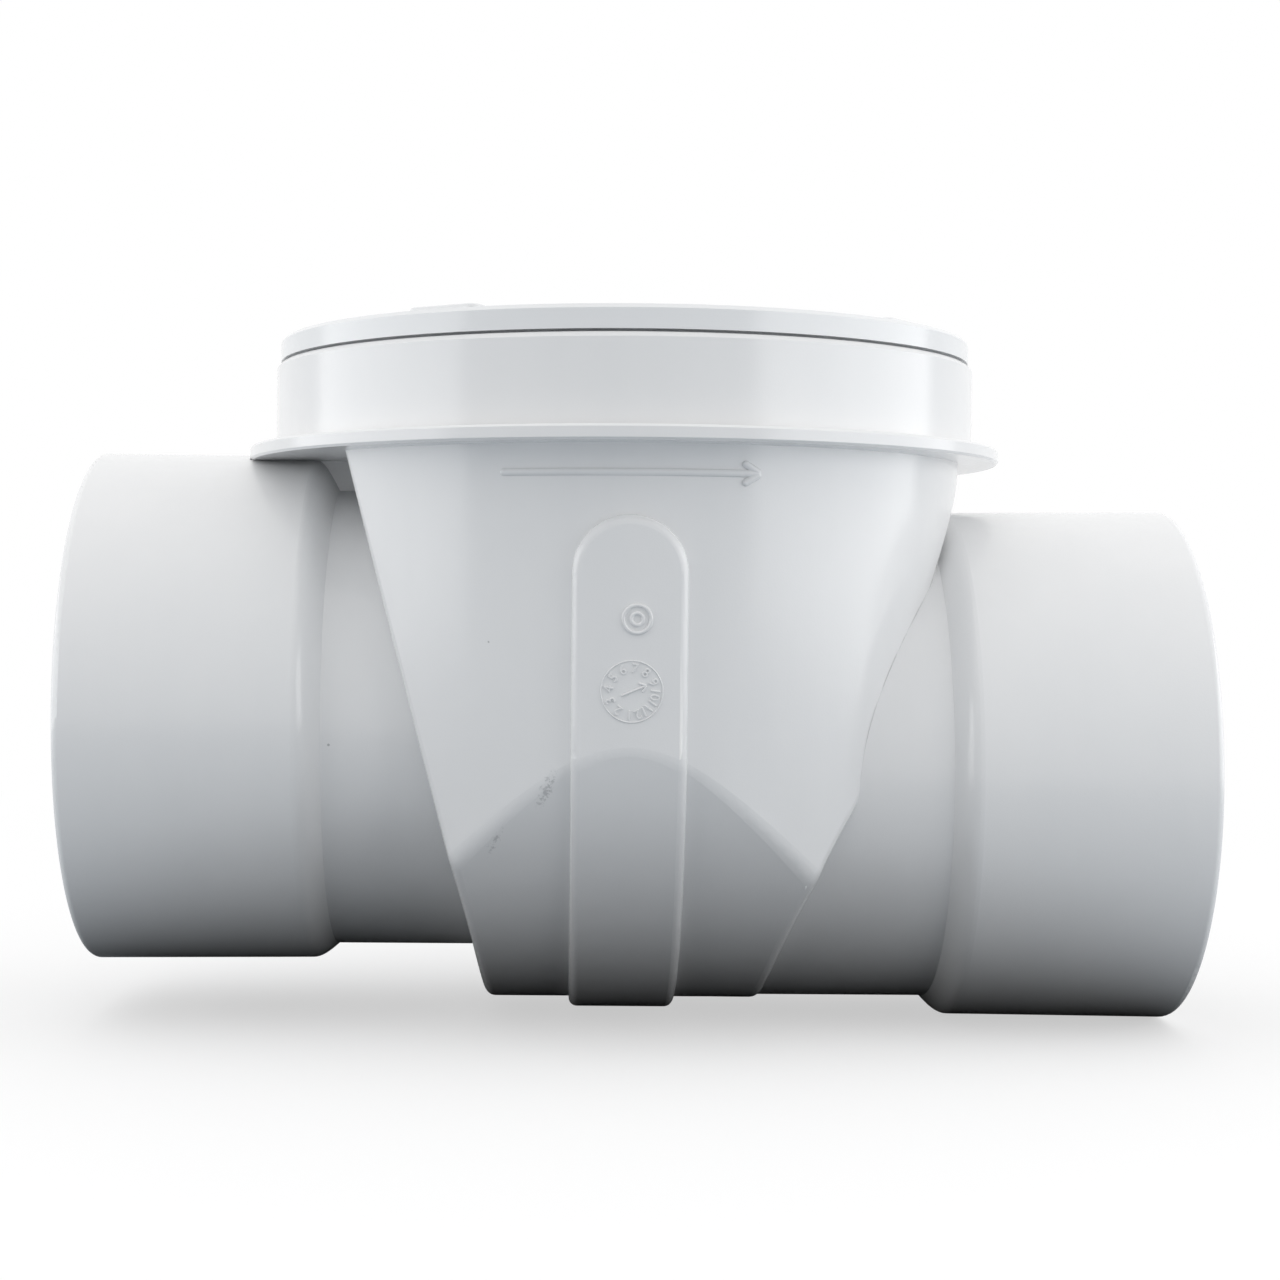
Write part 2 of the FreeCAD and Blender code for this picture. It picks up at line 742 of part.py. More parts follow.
def cover_o_ring():
    """Ring pressed flat between the cover's rim and its seat in the collar."""
    inner = access_radius + o_ring_play
    outer = access_radius + o_ring_width - o_ring_play
    low, high = collar_top - o_ring_seat_depth, rim_bottom
    edge = o_ring_edge
    return turned([(inner, low + edge), (inner + edge, low), (outer - edge, low), (outer, low + edge),
                   (outer, high - edge), (outer - edge, high), (inner + edge, high), (inner, high - edge)])


pieces = {
    "valve_chamber": valve_chamber, "inlet_hub": inlet_hub, "outlet_hub": outlet_hub,
    "access_collar": access_collar, "seat_ring": seat_ring, "hinge_bracket": hinge_bracket,
    "bracket_inserts": bracket_inserts, "bracket_screws": bracket_screws, "hinge_pin": hinge_pin,
    "pin_clips": pin_clips, "flap": flap, "hinge_bushes": hinge_bushes, "flap_seal": flap_seal,
    "seal_retainer": seal_retainer, "flap_inserts": flap_inserts, "retainer_screws": retainer_screws,
    "retainer_washers": retainer_washers, "access_cover": access_cover, "cover_skirt": cover_skirt,
    "cover_o_ring": cover_o_ring,
}

os.makedirs("parts", exist_ok=True)
for name, make in pieces.items():
    shape = make().translated(at(-middle, 0, 0))
    shape.exportStep("parts/" + name + ".step")
    box = shape.BoundBox
    print(name, len(shape.Solids), "solids", round(shape.Volume / 1000, 1), "cm3",
          "x", round(box.XMin, 2), round(box.XMax, 2), "y", round(box.YMin, 2), round(box.YMax, 2),
          "z", round(box.ZMin, 2), round(box.ZMax, 2), "valid", shape.isValid())
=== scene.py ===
import json
import math

import bpy
import numpy as np
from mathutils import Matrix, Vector


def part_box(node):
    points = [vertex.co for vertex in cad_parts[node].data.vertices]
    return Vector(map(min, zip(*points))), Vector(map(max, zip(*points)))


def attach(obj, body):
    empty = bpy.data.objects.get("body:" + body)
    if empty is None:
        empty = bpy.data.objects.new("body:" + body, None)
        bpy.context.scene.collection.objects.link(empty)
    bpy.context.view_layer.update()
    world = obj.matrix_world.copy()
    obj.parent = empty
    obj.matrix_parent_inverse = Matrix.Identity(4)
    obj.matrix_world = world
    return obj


# Backwater valve in white moulded PVC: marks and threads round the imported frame, finishes, light and camera.
# Metres and the frame's own axes: +X along the flow, +Z up to the access cover, the photo's side at -Y.

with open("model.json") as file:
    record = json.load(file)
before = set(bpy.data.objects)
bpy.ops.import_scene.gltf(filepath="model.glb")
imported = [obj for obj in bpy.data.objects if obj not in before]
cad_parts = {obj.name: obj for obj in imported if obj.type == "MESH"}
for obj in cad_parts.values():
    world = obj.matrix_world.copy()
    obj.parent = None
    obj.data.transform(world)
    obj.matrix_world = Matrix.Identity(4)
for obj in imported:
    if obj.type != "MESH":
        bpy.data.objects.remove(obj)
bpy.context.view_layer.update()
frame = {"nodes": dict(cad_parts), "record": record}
scene = bpy.context.scene
print("Frame loaded with", len(frame["nodes"]), "nodes")

mm = 0.001
collarLow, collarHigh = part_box("access_collar")
accessX = (collarLow[0] + collarHigh[0]) / 2      # upright axis of the chamber, collar and cover
flangeZ = collarLow[2]                            # underside of the flange
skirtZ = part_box("cover_skirt")[0][2]              # lower edge of the cover's skirt


# Camera

cameraSetup = {
    "place": (accessX - 19.5 * mm, -867.5 * mm, 145.3 * mm),
    "lens": 66.39,                # on a 36 mm sensor
    "shift": (0.0557, -0.0204),
    "roll": 0.0069,               # radians, the outlet side sinks a little
    "clipStart": 0.01,
}


def makeCamera(setup):
    data = bpy.data.cameras.new("photo_camera")
    data.lens = setup["lens"]
    data.shift_x, data.shift_y = setup["shift"]
    data.clip_start = setup["clipStart"]
    camera = bpy.data.objects.new("photo_camera", data)
    camera.location = setup["place"]
    camera.rotation_euler = (math.pi / 2, -setup["roll"], 0)
    scene.collection.objects.link(camera)
    scene.camera = camera


makeCamera(cameraSetup)
print("Camera placed")


# Shader maths

class Signal:
    # An output socket that stands in sums like a number; each operator adds one Math node.
    def __init__(self, tree, socket=None):
        self.tree = tree
        self.socket = socket

    def node(self, kind, settings=None, inputs=None, output=0):
        made = self.tree.nodes.new(kind)
        for name, value in (settings or {}).items():
            setattr(made, name, value)
        for name, value in (inputs or {}).items():
            if isinstance(value, Signal):
                self.tree.links.new(value.socket, made.inputs[name])
            else:
                made.inputs[name].default_value = value
        return Signal(self.tree, made.outputs[output] if made.outputs else None)

    def maths(self, operation, *values, clamp=False):
        settings = {"operation": operation, "use_clamp": clamp}
        return self.node("ShaderNodeMath", settings, dict(enumerate(values)))

    def __add__(self, other):
        return self.maths("ADD", self, other)

    def __sub__(self, other):
        return self.maths("SUBTRACT", self, other)

    def __mul__(self, other):
        return self.maths("MULTIPLY", self, other)

    def __rsub__(self, other):
        return self.maths("SUBTRACT", other, self)

    def __gt__(self, other):
        return self.maths("GREATER_THAN", self, other)

    def __lt__(self, other):
        return self.maths("LESS_THAN", self, other)

    __radd__ = __add__
    __rmul__ = __mul__

    def clamped(self):
        return self.maths("ADD", self, 0.0, clamp=True)

    def swing(self, amount):
        # Noise as a swing round zero
        return (self - 0.5) * amount

    def between(self, low, high):
        # 0 at low, 1 at high, smooth in between
        inputs = {"Value": self, "From Min": low, "From Max": high}
        return self.node("ShaderNodeMapRange", {"interpolation_type": "SMOOTHSTEP"}, inputs)

    def noise(self, place, scale, detail=2.0, rough=0.5):
        return self.node("ShaderNodeTexNoise", {}, {"Vector": place, "Scale": scale, "Detail": detail,
                                                    "Roughness": rough})

    def mapped(self, place, where=(0, 0, 0), turn=(0, 0, 0), scale=(1, 1, 1), kind="POINT"):
        return self.node("ShaderNodeMapping", {"vector_type": kind},
                         {"Vector": place, "Location": where, "Rotation": turn, "Scale": scale})

    def length(self, vector):
        return self.node("ShaderNodeVectorMath", {"operation": "LENGTH"}, {0: vector}, "Value")

    def mixed(self, share, first, second):
        return self.node("ShaderNodeMix", {"data_type": "RGBA"}, {0: share, 6: first, 7: second}, 2)

    def bump(self, height, depth, strength=1.0, normal=None):
        inputs = {"Height": height, "Distance": depth, "Strength": strength}
        if normal is not None:
            inputs["Normal"] = normal
        return self.node("ShaderNodeBump", {}, inputs)


def startMaterial(name):
    material = bpy.data.materials.new(name)
    material.use_nodes = True
    tree = material.node_tree
    tree.nodes.clear()
    start = Signal(tree)
    place = start.node("ShaderNodeTexCoord", {}, {}, "Object")
    return material, start, place


def finishMaterial(start, inputs):
    shader = start.node("ShaderNodeBsdfPrincipled", {}, inputs)
    start.node("ShaderNodeOutputMaterial", {}, {"Surface": shader})


# Moulded PVC. A noise is given as scale, detail and roughness.

pvcLook = {
    "colour": (0.858, 0.859, 0.861, 1.0),
    "shade": (0.753, 0.762, 0.772, 1.0),      # where the melt cooled more slowly
    "shadeShare": 0.45,
    "cloud": (11.0, 5.0, 0.62),
    "streak": (70.0, 2.0, 0.5),
    "streakStretch": 0.12,                    # scale along Z, which draws the streaks out upright
    "flow": (24.0, 3.0, 0.5),
    "flowStretch": 0.16,
    "flowTurn": 28,                           # degrees that the flow lines lean
    "shares": (1.3, 0.5, 0.8),                # of cloud, streak and flow in the shade
    "specks": 0.42,                           # how dark a speck is
    "speckCells": 85.0,
    "speckSize": 0.038,                       # in widths of a cell
    "speckPatches": (37.0, 1.0, 0.5),
    "speckFrom": 0.64,                        # patches whose noise is above this have specks
    "roughness": 0.17,
    "roughnessSpread": 0.08,
    "fine": (520.0, 2.0, 0.5),
    "fineSpread": 0.06,
    "wave": 0.10 * mm,                        # height of the slow sink marks
    "peel": 0.035 * mm,                       # height of the fine orange peel
    "peelNoise": (1500.0, 2.0, 0.6),
    "peelStrength": 0.6,
    "specular": 0.5,
    "ior": 1.53,
}

scuffs = [
    # middle (x, z), half length and half width, turn in degrees, darkness
    {"at": (-29.8 * mm, 88.9 * mm), "size": (7.5 * mm, 2.4 * mm), "turn": -66, "dark": 0.34},
    {"at": (-46.5 * mm, 71.3 * mm), "size": (5.5 * mm, 1.5 * mm), "turn": -62, "dark": 0.30},
]

scuffLook = {
    "colour": (0.10, 0.11, 0.12, 1.0),        # of the specks as well
    "noise": (900.0, 3.0, 0.75),
    "ragged": 5.0,                            # how far the noise moves the edge, in half sizes
    "edge": 0.75,
    "soft": (0.1, 0.8),
    "end": 1.5,                               # nothing is left this far out
    "frontY": -40 * mm,                       # the far side stays clean
}


def scuffed(start, place, look, marks):
    # Flecks inside ellipses on the front: reach is 0 in the middle and 1 at the half sizes
    ragged = start.noise(place, *look["noise"]).swing(look["ragged"])
    front = start.node("ShaderNodeSeparateXYZ", {}, {"Vector": place}, "Y") < look["frontY"]
    dirt = None
    for mark in marks:
        (x, z), (half, across) = mark["at"], mark["size"]
        local = start.mapped(place, (x, 0, z), (0, math.radians(mark["turn"]), 0), (half, 1.0, across),
                             "TEXTURE")
        reach = start.length(local)
        stain = (look["edge"] - reach + ragged).between(*look["soft"]) * (look["end"] - reach).clamped()
        stain = stain * front * mark["dark"]
        dirt = stain if dirt is None else dirt + stain
    return dirt


def pvcMaterial(name, look, marks=()):
    material, start, place = startMaterial(name)
    cloud = start.noise(place, *look["cloud"])
    streak = start.noise(start.mapped(place, scale=(1, 1, look["streakStretch"])), *look["streak"])
    leaning = start.mapped(place, turn=(0, math.radians(look["flowTurn"]), 0),
                           scale=(1, 1, look["flowStretch"]))
    flow = start.noise(leaning, *look["flow"])
    cloudShare, streakShare, flowShare = look["shares"]
    shade = cloud.swing(cloudShare) + streak.swing(streakShare) + flow.swing(flowShare) + 0.5
    colour = start.mixed(shade.clamped() * look["shadeShare"], look["colour"], look["shade"])

    cells = start.node("ShaderNodeTexVoronoi", {}, {"Vector": place, "Scale": look["speckCells"]})
    patches = start.noise(place, *look["speckPatches"]) > look["speckFrom"]
    speck = (cells < look["speckSize"]) * patches * look["specks"]
    if marks:
        speck = speck + scuffed(start, place, scuffLook, marks)
    colour = start.mixed(speck.clamped(), colour, scuffLook["colour"])

    fine = start.noise(place, *look["fine"])
    roughness = look["roughness"] + cloud.swing(look["roughnessSpread"]) + fine.swing(look["fineSpread"])
    normal = start.bump(cloud, look["wave"])
    normal = start.bump(start.noise(place, *look["peelNoise"]), look["peel"], look["peelStrength"], normal)
    finishMaterial(start, {"Base Color": colour, "Roughness": roughness, "Normal": normal,
                           "Specular IOR Level": look["specular"], "IOR": look["ior"]})
    return material


# Rubber, metal and acetal

rubberLook = {
    "bloom": (60.0, 3.0, 0.5),
    "bloomFade": (0.35, 0.8),
    "roughness": 0.52,
    "roughnessSpread": 0.2,
    "grain": (2200.0, 2.0, 0.5),
    "grainHeight": 0.02 * mm,
    "grainStrength": 0.5,
}


def rubberMaterial(name, look, deep, faded):
    material, start, place = startMaterial(name)
    bloom = start.noise(place, *look["bloom"])
    grain = start.noise(place, *look["grain"])
    colour = start.mixed(bloom.between(*look["bloomFade"]), deep, faded)
    finishMaterial(start, {"Base Color": colour,
                           "Roughness": look["roughness"] + bloom.swing(look["roughnessSpread"]),
                           "Normal": start.bump(grain, look["grainHeight"], look["grainStrength"])})
    return material


metalLook = {
    "stretch": 0.04,              # scale along Y, which draws the lines out along the hinge pin
    "cloud": (190.0, 3.0, 0.5),
    "cloudFade": (0.3, 0.75),
    "roughnessSpread": 0.18,
    "lineHeight": 0.008 * mm,
    "lineStrength": 0.6,
}


def metalMaterial(name, look, colour, dull, roughness, grain):
    # Fine turned or drawn lines: noise stretched along Y
    material, start, place = startMaterial(name)
    lines = start.noise(start.mapped(place, scale=(1, look["stretch"], 1)), *grain)
    cloud = start.noise(place, *look["cloud"])
    tint = start.mixed(cloud.between(*look["cloudFade"]), colour, dull)
    finishMaterial(start, {"Base Color": tint, "Metallic": 1.0,
                           "Roughness": roughness + lines.swing(look["roughnessSpread"]),
                           "Normal": start.bump(lines, look["lineHeight"], look["lineStrength"])})
    return material


acetalLook = {
    "colour": (0.86, 0.85, 0.80, 1),
    "shade": (0.80, 0.79, 0.74, 1),
    "cloud": (160.0, 2.0, 0.5),
    "roughness": 0.30,
    "roughnessSpread": 0.1,
    "grain": (900.0, 2.0, 0.5),
    "grainHeight": 0.01 * mm,
    "grainStrength": 0.5,
}


def acetalMaterial(name, look):
    material, start, place = startMaterial(name)
    cloud = start.noise(place, *look["cloud"])
    grain = start.noise(place, *look["grain"])
    finishMaterial(start, {"Base Color": start.mixed(cloud, look["colour"], look["shade"]),
                           "Roughness": look["roughness"] + cloud.swing(look["roughnessSpread"]),
                           "Normal": start.bump(grain, look["grainHeight"], look["grainStrength"])})
    return material


coverLook = dict(pvcLook, colour=(0.842, 0.851, 0.858, 1.0), shadeShare=0.30, wave=0.06 * mm)
innerLook = dict(pvcLook, colour=(0.815, 0.820, 0.812, 1.0), roughness=0.34)
materials = {
    "pvc_body": pvcMaterial("body_pvc", pvcLook, scuffs),
    "pvc_cover": pvcMaterial("cover_pvc", coverLook),
    "pvc_inner": pvcMaterial("inner_pvc", innerLook),
    "epdm": rubberMaterial("black_rubber", rubberLook, (0.018, 0.018, 0.019, 1), (0.034, 0.034, 0.036, 1)),
    "stainless": metalMaterial("bright_stainless", metalLook, (0.62, 0.61, 0.59, 1), (0.50, 0.49, 0.48, 1),
                               0.26, (900.0, 3.0, 0.6)),
    "brass": metalMaterial("turned_brass", metalLook, (0.72, 0.55, 0.25, 1), (0.55, 0.40, 0.18, 1),
                           0.32, (700.0, 3.0, 0.6)),
    "acetal": acetalMaterial("bush_acetal", acetalLook),
}
# Pale rubber for the cover's seal, painted light that brightens the shaded seam below the cover's rim
seamLightPaintedRubber = rubberMaterial("rubber_painted_seam_light", rubberLook, (0.64, 0.65, 0.66, 1), (0.72, 0.73, 0.74, 1))
for part in frame["record"]["subparts"]:
    finish = materials[part["material_slot"]]
    if part["node"] == "cover_o_ring":
        finish = seamLightPaintedRubber       # paler than its black rubber, as painted light: its edge shows in the seam below the cover's rim and lifts that shaded gap
    for slot in frame["nodes"][part["node"]].material_slots:
        slot.material = finish
print("Finishes made:", len(materials))


# Surfaces worked out with numpy

wallShape = {
    "radius": 121.6 * mm,         # chamber's outside at the flange
    "draft": math.radians(3.5),
    "hoopProud": 3.6 * mm,
}
sharpAngle = math.radians(50)     # edges above this stay sharp


def onWall(x, z, out, proud=0.0):
    # Point on the front of the drafted round wall, whose radius falls with the depth below the flange:
    # x from the upright axis, height z, and the distance out from a surface that itself stands proud
    # of the chamber, as the hoop does.
    radius = wallShape["radius"] + proud - (flangeZ - z) * math.tan(wallShape["draft"])
    angle = np.arcsin(x / radius)
    reach = radius + out
    return np.stack([accessX + reach * np.sin(angle), -reach * np.cos(angle), z + 0 * x], -1)


def addMesh(name, verts, faces, body, slot):
    # A smooth piece that rides on a body and takes the finish of a slot
    mesh = bpy.data.meshes.new(name)
    mesh.from_pydata(np.asarray(verts).reshape(-1, 3).tolist(), [], faces)
    mesh.shade_smooth()
    mesh.set_sharp_from_angle(angle=sharpAngle)
    mesh.materials.append(materials[slot])
    piece = bpy.data.objects.new(name, mesh)
    scene.collection.objects.link(piece)
    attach(piece, body)


def gridQuads(rows, columns, wrapRows=False):
    # Quads between neighbours of a grid whose columns close on themselves, and its rows too if wrapped
    row, column = np.meshgrid(np.arange(rows if wrapRows else rows - 1), np.arange(columns), indexing="ij")
    nextRow = (row + 1) % rows
    nextColumn = (column + 1) % columns
    quads = [row * columns + column, row * columns + nextColumn,
             nextRow * columns + nextColumn, nextRow * columns + column]
    return np.stack(quads, -1).reshape(-1, 4).tolist()


def closedBar(sections):
    # Sections (rows, columns, 3) joined into a bar; each end is a fan round the middle of its section
    rows, columns = sections.shape[:2]
    tips = np.stack([sections[0].mean(0), sections[-1].mean(0)])
    verts = np.concatenate([sections.reshape(-1, 3), tips])
    column = np.arange(columns)
    following = (column + 1) % columns
    tail = (rows - 1) * columns
    startFan = np.stack([following, column, 0 * column + rows * columns], -1)
    endFan = np.stack([tail + column, tail + following, 0 * column + rows * columns + 1], -1)
    return verts, gridQuads(rows, columns) + startFan.tolist() + endFan.tolist()


def gathered(solids):
    # Several (verts, faces) as one
    verts, faces, count = [], [], 0
    for points, polygons in solids:
        verts.append(points)
        faces += [[corner + count for corner in polygon] for polygon in polygons]
        count += len(points)
    return np.concatenate(verts), faces


# Raised marks on the chamber

markShape = {
    "columns": 14,                # points round a section
    "crown": 0.85,                # power of the arch, lower is more squared off
    "sunk": 0.25 * mm,            # how far a mark's foot lies in the wall
    "step": 2 * mm,               # between the sections of a stroke
    "capSteps": 7,
    "capStart": 0.12,             # radians from a stroke's very end to its first section
    "ringSteps": 96,
}


def markSection(halfWidth, height):
    # Low crowned profile: sideways offset is the cosine times the half width; the upper half is the
    # sine to the power of the crown times the height, the lower half the same arch sunk in the wall
    columns = markShape["columns"]
    turn = np.linspace(0, 2 * math.pi, columns, endpoint=False) + math.pi / columns
    side = np.cos(turn)[None, :] * halfWidth[:, None]
    arch = np.sign(np.sin(turn)) * np.abs(np.sin(turn)) ** markShape["crown"]
    lift = np.where(arch > 0, arch * height[:, None], arch * markShape["sunk"])
    return side, lift


def markStroke(start, end, width, height, proud=0.0):
    # Straight stroke from start to end (x, z) with round ends: the half width follows a quarter
    # circle at each end, and the height its square root
    start, end = np.array(start), np.array(end)
    length = np.hypot(*(end - start))
    way = (end - start) / length
    half = width / 2
    cap = half * (1 - np.cos(np.linspace(markShape["capStart"], math.pi / 2, markShape["capSteps"])))
    span = np.linspace(half, length - half, max(3, int(length / markShape["step"])))[1:-1]
    along = np.concatenate([cap, span, length - cap[::-1]])
    near = np.minimum(along, length - along)
    rise = np.sqrt(np.clip(1 - (1 - np.minimum(near / half, 1)) ** 2, 0, 1))
    side, lift = markSection(half * rise, height * np.sqrt(rise))
    x = start[0] + way[0] * along[:, None] - way[1] * side
    z = start[1] + way[1] * along[:, None] + way[0] * side
    return closedBar(onWall(x, z, lift, proud)[:, ::-1])


def markHead(tip, heading, length, spread, width, height, proud=0.0):
    # Two strokes that end at the tip of an arrow, spread in radians either side of where it came from
    strokes = []
    for way in (-1, 1):
        angle = heading + math.pi + way * spread
        barb = (tip[0] + length * math.cos(angle), tip[1] + length * math.sin(angle))
        strokes.append(markStroke(barb, tip, width, height, proud))
    return strokes


def markRing(centre, radius, width, height, proud=0.0):
    # Ring on the wall: the same section carried round a circle
    steps = markShape["ringSteps"]
    turn = np.linspace(0, 2 * math.pi, steps, endpoint=False)
    side, lift = markSection(np.full(steps, width / 2), np.full(steps, height))
    reach = radius + side
    x = centre[0] + reach * np.cos(turn)[:, None]
    z = centre[1] + reach * np.sin(turn)[:, None]
    return onWall(x, z, lift, proud).reshape(-1, 3), gridQuads(steps, markShape["columns"], True)


numeralShape = {
    "inward": 0.06 * mm,          # the outline shrinks by this before the bevel swells it
    "bevel": 0.14 * mm,
    "bevelSteps": 2,
    "curveSteps": 4,
    "spacing": 0.95,
}


def markNumber(text, centre, turn, size, height, proud=0.0):
    # A numeral of Blender's own font, thickened; its points are turned about its middle, moved to the
    # centre (x, z) and wrapped on the wall
    curve = bpy.data.curves.new("numeral", "FONT")
    curve.body = text
    curve.size = size
    curve.align_x, curve.align_y = "CENTER", "CENTER"
    curve.offset = -numeralShape["inward"]
    curve.extrude = height / 2
    curve.bevel_depth = numeralShape["bevel"]
    curve.bevel_resolution = numeralShape["bevelSteps"]
    curve.resolution_u = numeralShape["curveSteps"]
    curve.space_character = numeralShape["spacing"]
    holder = bpy.data.objects.new("numeral", curve)
    scene.collection.objects.link(holder)
    mesh = bpy.data.meshes.new_from_object(holder.evaluated_get(bpy.context.evaluated_depsgraph_get()))
    verts = np.empty(len(mesh.vertices) * 3)
    mesh.vertices.foreach_get("co", verts)
    verts = verts.reshape(-1, 3)
    faces = [list(face.vertices) for face in mesh.polygons]
    bpy.data.objects.remove(holder)
    bpy.data.meshes.remove(mesh)
    across = verts[:, 0] * math.cos(turn) - verts[:, 1] * math.sin(turn)
    upward = verts[:, 0] * math.sin(turn) + verts[:, 1] * math.cos(turn)
    lift = verts[:, 2] + height / 2
    return onWall(centre[0] + across, centre[1] + upward, lift, proud), faces


flowArrow = {
    "from": (-41.7 * mm, 190.4 * mm),
    "to": (41.4 * mm, 190.4 * mm),
    "width": 2.4 * mm,
    "proud": 1.1 * mm,
    "barb": (5.8 * mm, 3.5 * mm),             # back and sideways
}


def makeFlowArrow(look):
    size = (look["width"], look["proud"])
    back, side = look["barb"]
    strokes = [markStroke(look["from"], look["to"], *size)]
    strokes += markHead(look["to"], 0.0, math.hypot(back, side), math.atan2(side, back), *size)
    addMesh("flow_arrow", *gathered(strokes), "valve_body", "pvc_body")


pipeSign = {
    "centre": (2.2 * mm, 143.8 * mm),
    "radii": (4.4 * mm, 1.9 * mm),
    "width": 1.3 * mm,
    "proud": 0.75 * mm,
}


def makePipeSign(look):
    rings = [markRing(look["centre"], radius, look["width"], look["proud"], wallShape["hoopProud"])
             for radius in look["radii"]]
    addMesh("pipe_end_sign", *gathered(rings), "valve_body", "pvc_body")


monthDial = {
    "centre": (0.65 * mm, 120.8 * mm),
    "radius": 9.8 * mm,
    "line": 0.50 * mm,
    "proud": 0.30 * mm,
    "numbers": 12,
    "first": -96.6,               # degrees, where the 1 stands; the others follow clockwise
    "numberRadius": 7.3 * mm,
    "numberSize": 4.3 * mm,
    "pointer": ((-3.4 * mm, -1.4 * mm), (4.6 * mm, 2.0 * mm)),
    "pointerWidth": 0.75 * mm,
    "pointerProud": 0.48 * mm,
    "barbLength": 2.6 * mm,
    "barbTurn": 38,
}


def makeMonthDial(look):
    proud = wallShape["hoopProud"]
    x, z = look["centre"]
    solids = [markRing(look["centre"], look["radius"], look["line"], look["proud"], proud)]
    for number in range(look["numbers"]):
        angle = math.radians(look["first"] - 360 / look["numbers"] * number)
        place = (x + look["numberRadius"] * math.cos(angle), z + look["numberRadius"] * math.sin(angle))
        solids.append(markNumber(str(number + 1), place, angle - math.pi / 2, look["numberSize"],
                                 look["proud"], proud))
    (startX, startZ), (tipX, tipZ) = look["pointer"]
    tip = (x + tipX, z + tipZ)
    size = (look["pointerWidth"], look["pointerProud"], proud)
    solids.append(markStroke((x + startX, z + startZ), tip, *size))
    heading = math.atan2(tipZ - startZ, tipX - startX)
    solids += markHead(tip, heading, look["barbLength"], math.radians(look["barbTurn"]), *size)
    addMesh("month_dial", *gathered(solids), "valve_body", "pvc_body")


makeFlowArrow(flowArrow)
makePipeSign(pipeSign)
makeMonthDial(monthDial)
print("Raised marks made")


# Threads

thread = {
    "pitch": 8.0 * mm,
    "height": 2.9 * mm,
    "foot": 4.2 * mm,             # width where the ridge stands on its wall
    "crest": 2.0 * mm,
    "flat": 0.8,                  # share of the crest at full height
    "shoulder": 0.92,             # height of the crest's edges, as a share
    "sunk": 0.3 * mm,
    "slim": 0.55,                 # share of its width that the ridge keeps at its ends
    "fade": 26,                   # degrees over which an end runs out
    "leastRise": 0.02,
    "stepsPerTurn": 120,
    "through": (20, 4.0 * mm),    # degrees and height above the skirt's edge that the cover's helix meets
}

threadSides = [
    {
        "name": "cover_thread",
        "body": "cover",
        "slot": "pvc_cover",
        "radius": 114.4 * mm,
        "way": 1,                 # stands outwards
        "start": 4.0 * mm,
        "turns": 1.75,
        "below": 0.0,
    },
    {
        "name": "collar_thread",
        "body": "valve_body",
        "slot": "pvc_body",
        "radius": 118.0 * mm,
        "way": -1,                # stands inwards
        "start": 2.5 * mm,
        "turns": 2.2,
        "below": 4.0 * mm,        # half a pitch, so it runs between the cover's turns
    },
]


def makeThread(side):
    # Ridge carried round a right-hand helix: radius and height of a trapezoid section, whose height
    # fades to nothing at both ends as a quarter sine, and its width to a share of its own
    fullTurn = 2 * math.pi
    throughAngle, throughHeight = thread["through"]
    turn = np.linspace(0, side["turns"] * fullTurn, int(side["turns"] * thread["stepsPerTurn"]))
    fromEnd = np.minimum(turn, turn[-1] - turn) / math.radians(thread["fade"])
    rise = np.sin(np.clip(fromEnd, thread["leastRise"], 1) * math.pi / 2)[:, None]
    foot, crest, flat = thread["foot"] / 2, thread["crest"] / 2, thread["crest"] / 2 * thread["flat"]
    sunk, shoulder, slim = thread["sunk"], thread["shoulder"], thread["slim"]
    upward = np.array([-foot, -foot, -crest, -flat, flat, crest, foot, foot]) * (slim + (1 - slim) * rise)
    root = np.array([-sunk, 0, 0, 0, 0, 0, 0, -sunk])
    top = np.array([0, 0, shoulder, 1, 1, shoulder, 0, 0]) * thread["height"] * rise
    radius = side["radius"] + side["way"] * (root + top)
    climbed = (side["start"] - throughHeight) / thread["pitch"] * fullTurn
    angle = (turn + math.radians(throughAngle) + climbed)[:, None]
    z = skirtZ + side["start"] - side["below"] + turn[:, None] * thread["pitch"] / fullTurn + upward
    sections = np.stack([accessX + radius * np.cos(angle), radius * np.sin(angle), z], -1)
    if side["way"] > 0:
        sections = sections[:, ::-1]          # keeps the faces pointing outwards
    addMesh(side["name"], *closedBar(sections), side["body"], side["slot"])


for threadSide in threadSides:
    makeThread(threadSide)
print("Threads cut")


# Studio

studio = {
    "floorReach": 8.0,
    "floorTint": (0.90, 0.90, 0.90, 1.0),
    "floorPale": (0.385, 0.42, 0.455, 1.0),   # what diffuse light meets round the valve
    "floorPaintedShadow": (0.01, 0.01, 0.01, 1.0),     # painted shadow that diffuse and glossy light meets below it, so that its underside stays dark
    "footprint": (0.20, 0.13, 1.0),           # half axes of the painted shadow
    "darkReach": (0.9, 1.5),                  # in these half axes, where it fades out
    "glowNear": 0.55,                         # share of plain white near the valve, the rest keeps the shadow
    "glowReach": (0.30, 1.1),                 # metres out, where the floor turns all white
    "glossReach": (0.5, 1.5),                 # the same as a gloss meets it
    "white": (1.0, 1.0, 1.0, 1.0),
    "dome": (0.17, 1.42),                     # at the horizon and overhead
    "aim": (0, 0, 0.12),                      # what the lamps point at
    "lamps": [
        # name, place, size, power
        ("left_softbox", (-1.19, -0.17, 0.30), (1.39, 0.62), 4.8),
        ("right_softbox", (1.16, -0.31, 0.30), (1.68, 0.62), 6.2),
    ],
}


def ray(start, name):
    return start.node("ShaderNodeLightPath", {}, {}, name)


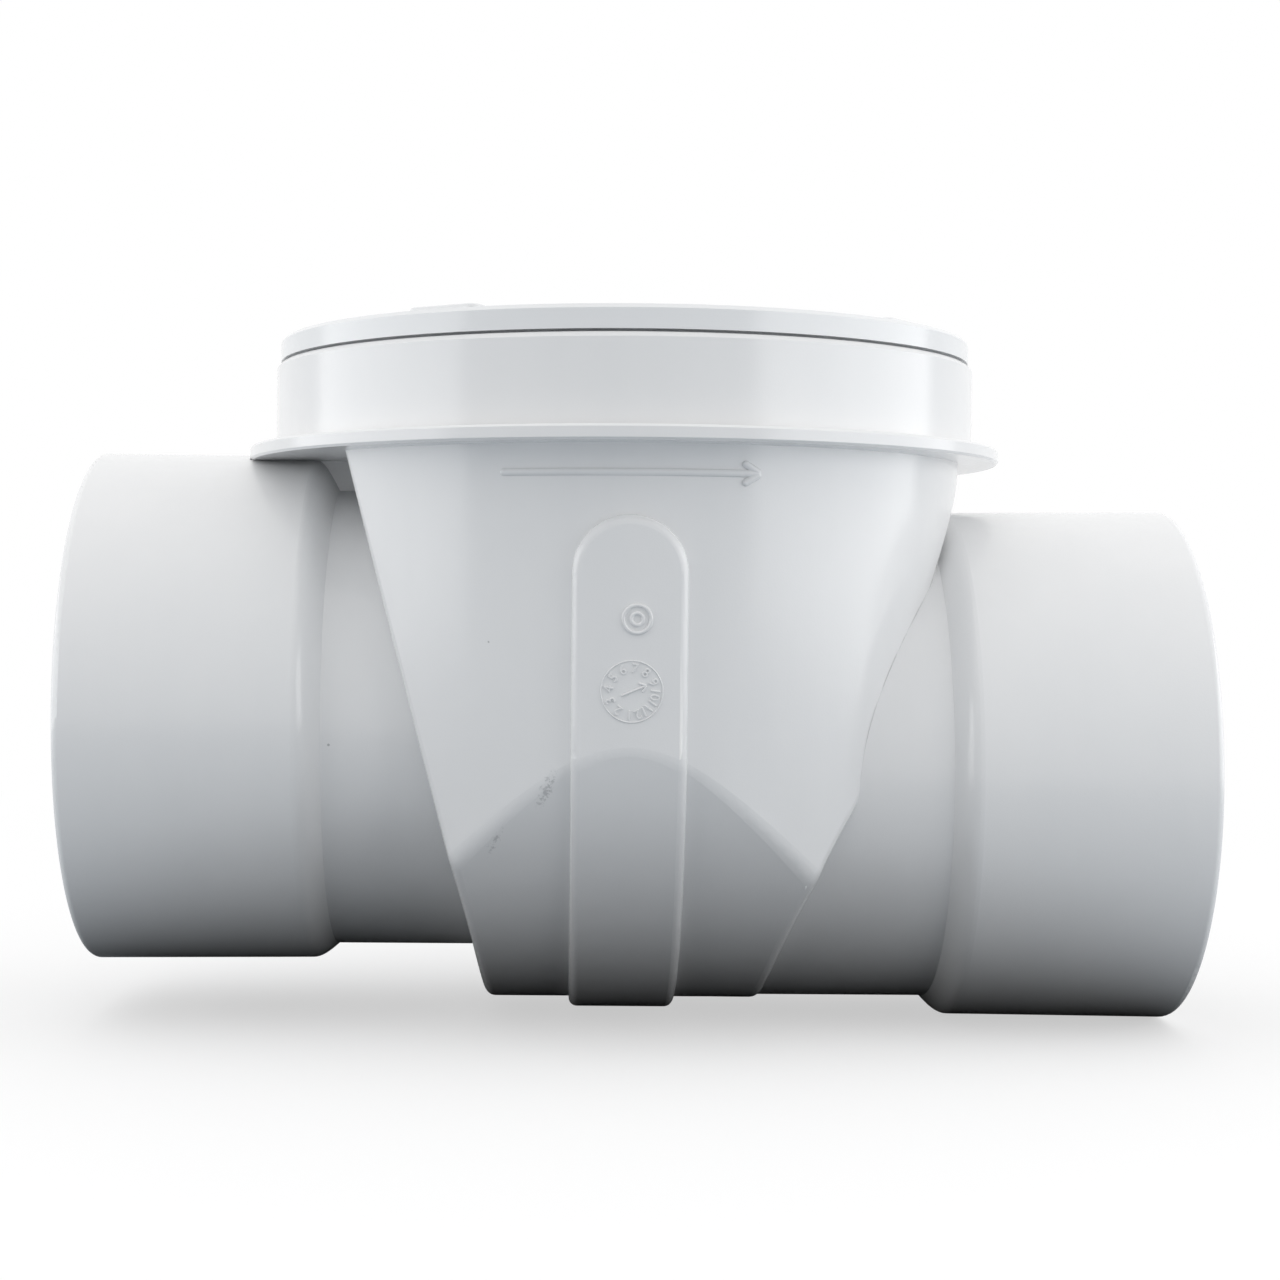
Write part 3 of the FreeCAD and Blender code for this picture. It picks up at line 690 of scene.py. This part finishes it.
def makeFloor(setup):
    reach = setup["floorReach"]
    corners = [(-reach, -reach, 0), (reach, -reach, 0), (reach, reach, 0), (-reach, reach, 0)]
    mesh = bpy.data.meshes.new("studio_floor")
    mesh.from_pydata(corners, [], [(0, 1, 2, 3)])
    floor = bpy.data.objects.new("studio_floor", mesh)
    scene.collection.objects.link(floor)
    material, start, place = startMaterial("studio_floor")
    seen = (ray(start, "Is Camera Ray") + ray(start, "Is Transmission Ray")).clamped()
    beside = start.length(start.mapped(place, scale=setup["footprint"], kind="TEXTURE"))
    # Rays other than the camera's meet a painted shadow under the valve, and the pale floor further out
    under = start.mixed(beside.between(*setup["darkReach"]), setup["floorPaintedShadow"], setup["floorPale"])
    lit = start.node("ShaderNodeBsdfDiffuse", {}, {"Color": start.mixed(seen, under, setup["floorTint"])})
    glow = start.node("ShaderNodeEmission", {}, {"Color": setup["white"]})
    away = start.length(place)
    share = away.between(*setup["glowReach"]) * (1 - setup["glowNear"]) + setup["glowNear"]
    gloss = ray(start, "Is Glossy Ray") * (1 - seen) * away.between(*setup["glossReach"])
    shader = start.node("ShaderNodeMixShader", {}, {0: (seen * share + gloss).clamped(), 1: lit, 2: glow})
    start.node("ShaderNodeOutputMaterial", {}, {"Surface": shader})
    mesh.materials.append(material)


def makeWorld(setup):
    # The dome lights the valve from its horizon to its zenith, and is plain white where it is seen
    world = bpy.data.worlds.new("studio_world")
    world.use_nodes = True
    world.node_tree.nodes.clear()
    start = Signal(world.node_tree)
    way = start.node("ShaderNodeTexCoord", {}, {}, "Generated")
    height = start.node("ShaderNodeSeparateXYZ", {}, {"Vector": way}, "Z")
    horizon, zenith = setup["dome"]
    light = height.clamped() * (zenith - horizon) + horizon
    seen = ray(start, "Is Camera Ray") + ray(start, "Is Transmission Ray")
    seen = (seen + ray(start, "Is Glossy Ray")).clamped()
    strength = light + seen * (1 - light)
    shader = start.node("ShaderNodeBackground", {}, {"Color": setup["white"], "Strength": strength})
    start.node("ShaderNodeOutputWorld", {}, {"Surface": shader})
    scene.world = world


def makeLamp(name, place, size, power, aim):
    data = bpy.data.lights.new(name, "AREA")
    data.shape = "RECTANGLE"
    data.size, data.size_y = size
    data.energy = power
    lamp = bpy.data.objects.new(name, data)
    lamp.location = place
    lamp.rotation_mode = "QUATERNION"
    lamp.rotation_quaternion = (Vector(aim) - lamp.location).to_track_quat("-Z", "Y")
    lamp.visible_camera = False
    scene.collection.objects.link(lamp)


makeFloor(studio)
makeWorld(studio)
for lampSetup in studio["lamps"]:
    makeLamp(*lampSetup, studio["aim"])
scene.view_settings.view_transform = "Standard"
print("Studio lit")
